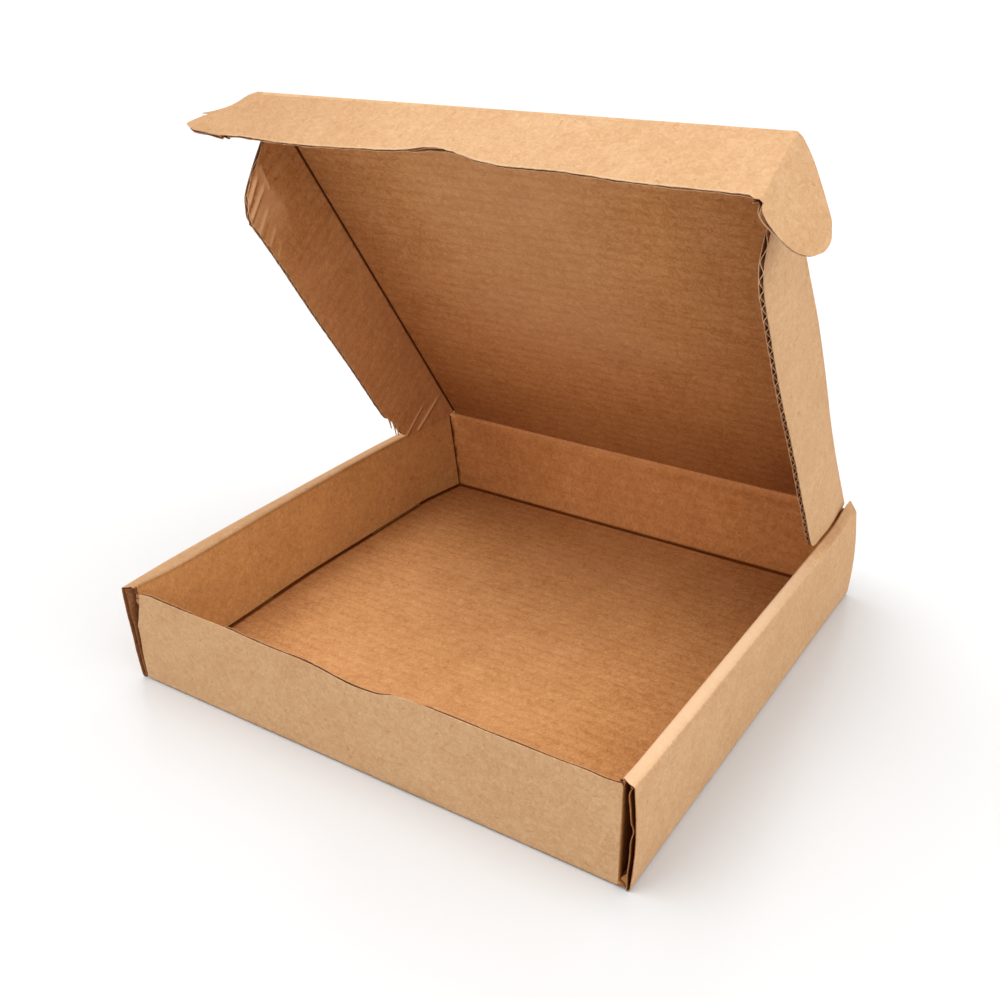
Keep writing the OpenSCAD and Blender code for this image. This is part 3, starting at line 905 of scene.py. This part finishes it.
    # Inside liner and fluted paper, round into both tabs
    xs = tab + arcs + flat_part + right_part
    rows = []
    for f in [k / 56 for k in range(57)]:
        row = []
        for x in xs:
            high = top(min(max(x, -INNER_X), INNER_X)) - 0.1 + 0.2 * wander(x, 8, 41 + side)
            if abs(x) > INNER_X:
                high = TAB_HIGH
            row.append((x, 2.2 + (high - 2.2) * f))
        rows.append(row)

    def inner_face(a, b):
        return HALF * 2 - 0.05 * (1 - math.cos(b * WAVES)) / 2

    # On the back wall the inside liner's tone, passed in as worn, is painted light and shade.
    wall.sheet(rows, inner, HALF * 2 - LINER, inner_face, (FLUTING, BACK if side > 0 else INSIDE, CUT),
               tab_kept, tone=worn)
    rows = []
    for f in [k / 70 for k in range(71)]:
        row = []
        for x in xs:
            high = top(min(max(x, -INNER_X), INNER_X)) - 3.2 - 0.5 * wander(x, 9, 43 + side)
            row.append((x, 2.2 + (min(high, TAB_HIGH if abs(x) > INNER_X else 99) - 2.2) * f))
        rows.append(row)
    wall.sheet(rows, inner, lambda a, b: HALF + WAVE * math.cos(b * WAVES) - 0.16,
               lambda a, b: HALF + WAVE * math.cos(b * WAVES) + 0.16, (FLUTING, FLUTING, CUT), tab_kept)
    wall.ride("tray", "tray")


# Painted light and shade on the back wall's inside: painted shade by both corners, where gaps open beside it,
# and along its foot; paler along its top and middle, with uneven bands across it.
def back_wall_painted_light_and_shade(a, b):
    corner = 120.4 + 0.138 * (b - 4.8)
    bands = 0.12 * wander(b, 4, 72) * smooth(a, -60, 60)
    pale = 0.2 * smooth(b, 45, 49) + 0.2 * smooth(110 - abs(a), 0, 90) + bands - 0.14
    return smooth(-a, corner - 1.2, corner - 0.2) + 0.8 * smooth(a, 116, 122) - pale + smooth(-b, -4.0, -2.8)


end_wall("front_wall_board", -1, wall_top, lambda a, b: 0.3 * ruffle(a, b, 60, 44))
end_wall("back_wall_board", 1, lambda x: HINGE.z - STOP, level, worn=back_wall_painted_light_and_shade)


def arc(cx, cy, r, first, last, n):
    return [(cx + r * math.cos(math.radians(first + (last - first) * i / n)),
             cy + r * math.sin(math.radians(first + (last - first) * i / n))) for i in range(n + 1)]


class Section:
    """A line through points in a plane."""

    def __init__(self, points):
        self.points = [Vector(p) for p in points]
        self.sides = []
        self.length = [0.0]
        for i, p in enumerate(self.points):
            before = self.points[max(i - 1, 0)]
            after = self.points[min(i + 1, len(points) - 1)]
            d = (after - before).normalized()
            self.sides.append(Vector((-d.y, d.x)))
            if i:
                self.length.append(self.length[-1] + (p - before).length)

    def at(self, i, h):
        """Point i, moved h to the left of the line."""
        return self.points[i] + self.sides[i] * h


SHEET_PATH = Section(
    arc(HALF_W - FOLD_R, FOLD_R, FOLD_R, -90, 0, 6) + [(HALF_W, z) for z in steps(4, 46, 3.5)]
    + arc(128.9, 48.2, 1.1, 0, 66, 5) + [(128.02, 49.7), (126.8, 50.2)]
    + arc(INNER_X + 0.9, 49.85, 0.9, 70, 180, 6) + [(INNER_X, z) for z in steps(48, FOOT, 4)])
BACKING_PATH = Section(
    [(127.75, 1.6)] + [(127.75, z) for z in steps(4, 46, 1.75)]
    + [(127.95, 47.3), (128.3, 48.1), (128.2, 48.35), (127.6, 48.6), (126.8, 48.9), (126.1, 49.1)]
    + [(125.75, 48.9), (125.7, 48)]
    + [(125.7, z) for z in steps(46, FOOT + 0.1, 4)])
# Painted light and shade along the top of the right wall's strip, from front to back: paler towards the
# front, deeper at the back under the lid.
strip_painted_light_and_shade = through([(-128, -0.5), (-110, -0.55), (0, -0.65), (50, -0.3), (90, 0.25), (128, 0.35)])


def side_wall(piece, side, outward, inward, foot, forward, crinkle):
    """One double side wall: the outside liner runs up the outside, over the top and down the inside.

    Functions of y say how far its outer and inner panel stand out of upright at their top, and the inner
    panel at its foot.
    """

    def pressed(y):
        """1 where a corner tab shares the space between the panels."""
        return smooth(abs(y), HALF_D - TAB_L - 6, HALF_D - TAB_L)

    def shifted(x, y, z, bulge=0.0):
        t = min(1.0, max(0.0, (x - INNER_X) / (HALF_W - INNER_X)))
        rise = max(0.0, (z - FOLD_R) / 47.5)
        out = (t * outward(y) + (1 - t) * inward(y)) * rise
        if x < 127.3:
            out += (1 - t) * foot(y) * max(0.0, 1 - rise)
        if side > 0 and z > 40:
            z += 4.3 * smooth(y, 98, 127) * (1 - t) * smooth(z, 40, 50)
        return Vector((side * (x + out + bulge), y, z))

    def bulged(x, y, z):
        if x < 127 or z > 48.5:
            return 0.0
        arch = math.sin(math.pi * min(1.0, max(0.0, (z + 2) / 50.5)))
        return arch * (0.35 + 1.25 * smooth(abs(y), 80, 128))

    def place(section):

        def put(i, b, h):
            p = section.at(i, h)
            return shifted(p.x, b, p.y, bulged(p.x, b, p.y))

        return put

    def ends(section, i, seed):
        p = section.points[i]
        inside = 1.0 - smooth(p.x, INNER_X, 128.0) if p.y > 48 else float(p.x < 127)
        front_end = -HALF_D + forward(p.y) + inside * 2.9 * (0.25 if p.y > 50 else 1)
        front_end += 0.12 * wander(p.y, 6, seed)
        if side > 0 and section is BACKING_PATH:
            if p.x < 127 and p.y < 48:
                front_end += 14
            elif p.y > 48.4:
                front_end += 4
        short = 2.9 + 0.016 * max(0.0, p.y) if side < 0 else 2.9 - 2.4 * smooth(p.y, 47, 49)
        return front_end, HALF_D - 0.1 - inside * short

    def grid(section, seed):
        rows = []
        for i in range(len(section.points)):
            b0, b1 = ends(section, i, seed)
            fs = [0, 0.004, 0.01, 0.02] + [0.03 + 0.94 * k / 44 for k in range(45)] + [0.98, 0.99, 1]
            rows.append([(i, b0 + (b1 - b0) * f) for f in fs])
        return rows

    last = len(SHEET_PATH.points) - 1
    turned_in = last - len(steps(48, FOOT, 4)) - 2

    # Painted light and shade on the outside liner: the strip over the top, deeper on the left wall, which
    # faces away from the light, and painted shade on the bottom fold by the ground.
    def liner_painted_light_and_shade(i, b):
        top = (strip_painted_light_and_shade(b) if side > 0 else 0.35) * smooth(SHEET_PATH.points[i].y, 48.6, 49.6)
        return (top if i <= turned_in + 2 else 0) + 1 - smooth(i, 1.5, 4.5)

    # Painted shade on the faces inside the side walls, between their liners: deep in the right wall but for
    # its cut front end, lighter in the left.
    def slot_painted_shade(i, b):
        if side < 0:
            return 0.3
        return max(0.1, smooth(b, -HALF_D + 0.2, -HALF_D + 0.9))

    for slot, kept in ((OUTSIDE, lambda i, b: i < turned_in + 2), (TURNED, lambda i, b: i > turned_in + 2)):
        piece.sheet(grid(SHEET_PATH, 51), place(SHEET_PATH), 0, LINER, (slot, FLUTING, FLUTING), kept,
                    lambda i, b: (SHEET_PATH.length[i], b), (liner_painted_light_and_shade, slot_painted_shade))

    def backing(i, b, h):
        p = BACKING_PATH.at(i, h)
        if p.x < 126.4:
            x = p.x + (1 - pressed(b)) * 1.1
            return shifted(x, b, p.y)
        wave = crinkle(p.y) * (1 - smooth(b, -HALF_D, -HALF_D + 14)) if p.y < 48.2 else 0.0
        return shifted(p.x + wave, b, p.y, bulged(p.x, b, p.y) * 0.85)

    piece.sheet(grid(BACKING_PATH, 52), backing, 0, 0.3, (INSIDE, FLUTING, FLUTING),
                flat=lambda i, b: (BACKING_PATH.length[i], b), tone=slot_painted_shade)

    def upright(ys, zs, put, wave):
        """Fluted paper with upright waves."""
        rows = [[(z, y) for y in ys] for z in zs]
        piece.sheet(rows, put, lambda z, y: wave * math.cos(y * WAVES) - 0.16,
                    lambda z, y: wave * math.cos(y * WAVES) + 0.16, (FLUTING, FLUTING, CUT))

    def in_outer(z, y, h):
        return shifted(128.75 + h, y, z, bulged(128, y, z))

    def in_inner(z, y, h):
        return shifted(125.36 + (1 - pressed(y)) * 0.55 + h * (1 - 0.75 * pressed(y)), y, z)

    upright(steps(-HALF_D + 6.5, HALF_D - 3, PITCH / 10), steps(2.6, 46.5, 6), in_outer, 0.72)
    upright(steps(-HALF_D + (26 if side > 0 else 3.6), HALF_D - 3.6, PITCH / 10),
            steps(FOOT + 0.6, 47.5, 6), in_inner, 0.72)

    # Locking tabs in the floor's slots, painted in full shade
    for end in (-1, 1):
        first = end * LOCK_Y - LOCK_HALF
        last = end * LOCK_Y + LOCK_HALF
        for x, slots in ((INNER_X, (OUTSIDE, FLUTING, CUT)),
                         (INNER_X + 2 * HALF - LINER, (FLUTING, INSIDE, CUT))):
            rows = [[(y, z) for y in steps(first, last, 4)] for z in (0.3, 0.9, 1.6, 2.4, FOOT)]

            def standing(y, z, h):
                return Vector((side * (x + h + 0.3 + foot(y) * smooth(z, 1.6, 4)), y, z))

            piece.sheet(rows, standing, 0, LINER, slots, tone=lambda y, z: 1.0)
        upright(steps(first + 0.2, last - 0.2, PITCH / 10), (0.5, 1.6, 2.9),
                lambda z, y, h: Vector((side * (INNER_X + HALF + h), y, z)), 0.7)


# How far the outer panel's inside liner waves outwards at the right wall's front end, at each height
wavy = through([(2.4, 0.9), (7.6, 0.3), (13.1, 0.4), (18.3, 0.4), (24, 0.44), (27.5, 1.2), (29.6, 1.45),
                (31.7, 0.63), (35.9, 0.27), (39.7, 0.15), (44.4, 0.02), (48, 0.8)])
sides = Piece("side_walls_board")
side_wall(sides, 1, right_out, right_in, level_at, level_at, wavy)
side_wall(sides, -1, left_out, left_in, left_foot, lambda z: -1.6 * smooth(z, 20, 50),
          lambda z: 0.3 * wander(z, 7, 58))

# A scrap of the floor's corner stands in the slot at the right
scrap = [[(124.4, 1.0), (125.2, 1.2), (126.6, 1.0), (128.4, 0.7)],
         [(125.6, 3.4), (126.2, 4.3), (127.4, 5.6), (128.7, 7.6)]]
sides.sheet(scrap, lambda x, z, h: Vector((x, h - 127.2 + 0.25 * z, z)), 0, LINER,
            (TURNED, FLUTING, TURNED), tone=lambda x, z: 0.35)

# A curl of the back wall's liner at its top left corner
curl = [[(t, w) for w in range(5)] for t in steps(0, 1, 0.1)]


def curled_back(t, w, h):
    r = (1.1 - h) * (1 - 0.5 * t)
    return Vector((-127.4 + 6.5 * t, 123.2 - r * math.sin(w * 0.75), 54.4 - 1.6 * t + r * math.cos(w * 0.75)))


sides.sheet(curl, curled_back, 0, 0.3, (CUT, CUT, CUT), tone=lambda t, w: -0.6)

# A curl of paper where the right wall's strip meets the front wall
curl = [[(angle, y) for y in (-127.9, -127.2, -126.4, -125.6)] for angle in range(-70, 251, 32)]


def curled_front(angle, y, h):
    r = 1.15 - h
    return Vector((124.6 + r * math.cos(math.radians(angle)), y, 49.3 + r * math.sin(math.radians(angle))))


sides.sheet(curl, curled_front, 0, 0.28, (INSIDE, FLUTING, FLUTING), tone=lambda angle, y: 0.3)
sides.ride("tray", "tray")

# The creases

bend("hinge", HINGE, X, (-EDGE - 5, EDGE - 1.5), (-Z, LID_B), (Y, -LID_H), 0.4,
     (-0.05, -0.25, -0.1, 0.35, 0.15), paper=BACK)
bend("front_crease", FRONT, FLAP_A, (-CORNER, CORNER), (-LID_OUT, FLAP_B),
     (-LID_H, -FLAP_H))
for side, name in ((1, "right"), (-1, "left")):
    axis = HINGE + X * side * SIDE_AXIS
    bend(name + "_side_crease", axis, LID_B,
         (REAR, 237 if side > 0 else 242), (-X * side, LID_H), (-LID_H, X * side),
         bow=right_bow if side > 0 else level_at)
for side, name, fold, end in ((1, "right", RIGHT_EAR_FOLD, 34.9), (-1, "left", LEFT_EAR_FOLD, 30)):
    arm = turned(FLAP_A * side, FLAP_H, fold)
    out = -turned(FLAP_H, -FLAP_A * side, fold)
    bend(name + "_ear_crease", FRONT + FLAP_A * side * EAR_AXIS, FLAP_B,
         (-0.5, end), (-FLAP_A * side, arm), (-FLAP_H, out), shade=0.0 if side > 0 else LEFT_TONE)

# Camera, floor and light

camera_data = bpy.data.cameras.new("camera")
camera_data.lens = 41.905
camera_data.sensor_width = 36
camera_data.clip_start = 0.01
camera = bpy.data.objects.new("camera", camera_data)
camera.location = (0.264918, -0.426636, 0.321030)
camera.rotation_euler = [math.radians(a) for a in (63.898, 0.1255, 32.6325)]
bpy.context.scene.collection.objects.link(camera)
bpy.context.scene.camera = camera

ground_mesh = bpy.data.meshes.new("ground")
ground_mesh.from_pydata([(-9, -9, 0), (9, -9, 0), (9, 9, 0), (-9, 9, 0)], [], [(0, 1, 2, 3)])
ground = bpy.data.objects.new("ground", ground_mesh)
ground.location.z = -0.0002
bpy.context.scene.collection.objects.link(ground)
white = bpy.data.materials.new("white_ground")
white.use_nodes = True
gloss = white.node_tree.nodes["Principled BSDF"]
gloss.inputs["Base Color"].default_value = (0.61, 0.61, 0.61, 1)
gloss.inputs["Roughness"].default_value = 0.25
gloss.inputs["Specular IOR Level"].default_value = 0.35
ground_mesh.materials.append(white)

# The light is a pale room with large soft lights: their directions, edges (as a cosine) and strengths
SOFT_LIGHTS = [
    ((-0.5, -0.5, 1), 0.85, 3.35),
    ((-0.5, 0.1, 1), 0.85, 2.02),
    ((1, 0, 1.2), 0.8, 1.1),
    ((0.3, 0.9, 1), 0.8, 0.25),
    ((1, 0, 0.3), 0.4, 1.29),
    ((-0.6, 0.6, 0.7), 0.4, 0.67),
    ((0, 1, 0.5), 0.4, 0.41),
    ((0, -1, 0.4), 0.4, 0.56),
]
world = bpy.data.worlds.new("world")
bpy.context.scene.world = world
world.use_nodes = True
sky = world.node_tree
way = sky.nodes.new("ShaderNodeTexCoord")
total = sky.nodes.new("ShaderNodeValue").outputs[0]
total.default_value = 0.26
for direction, rim, strength in SOFT_LIGHTS:
    towards = sky.nodes.new("ShaderNodeVectorMath")
    towards.operation = "DOT_PRODUCT"
    towards.inputs[1].default_value = Vector(direction).normalized()
    sky.links.new(way.outputs["Generated"], towards.inputs[0])
    glow = sky.nodes.new("ShaderNodeMapRange")
    glow.interpolation_type = "SMOOTHSTEP"
    glow.inputs["From Min"].default_value = rim
    glow.inputs["To Max"].default_value = strength
    sky.links.new(towards.outputs["Value"], glow.inputs["Value"])
    both = sky.nodes.new("ShaderNodeMath")
    sky.links.new(total, both.inputs[0])
    sky.links.new(glow.outputs["Result"], both.inputs[1])
    total = both.outputs[0]
sky.nodes["Background"].inputs["Color"].default_value = (1, 1, 1, 1)
sky.links.new(total, sky.nodes["Background"].inputs["Strength"])
bpy.context.scene.view_settings.view_transform = "Standard"
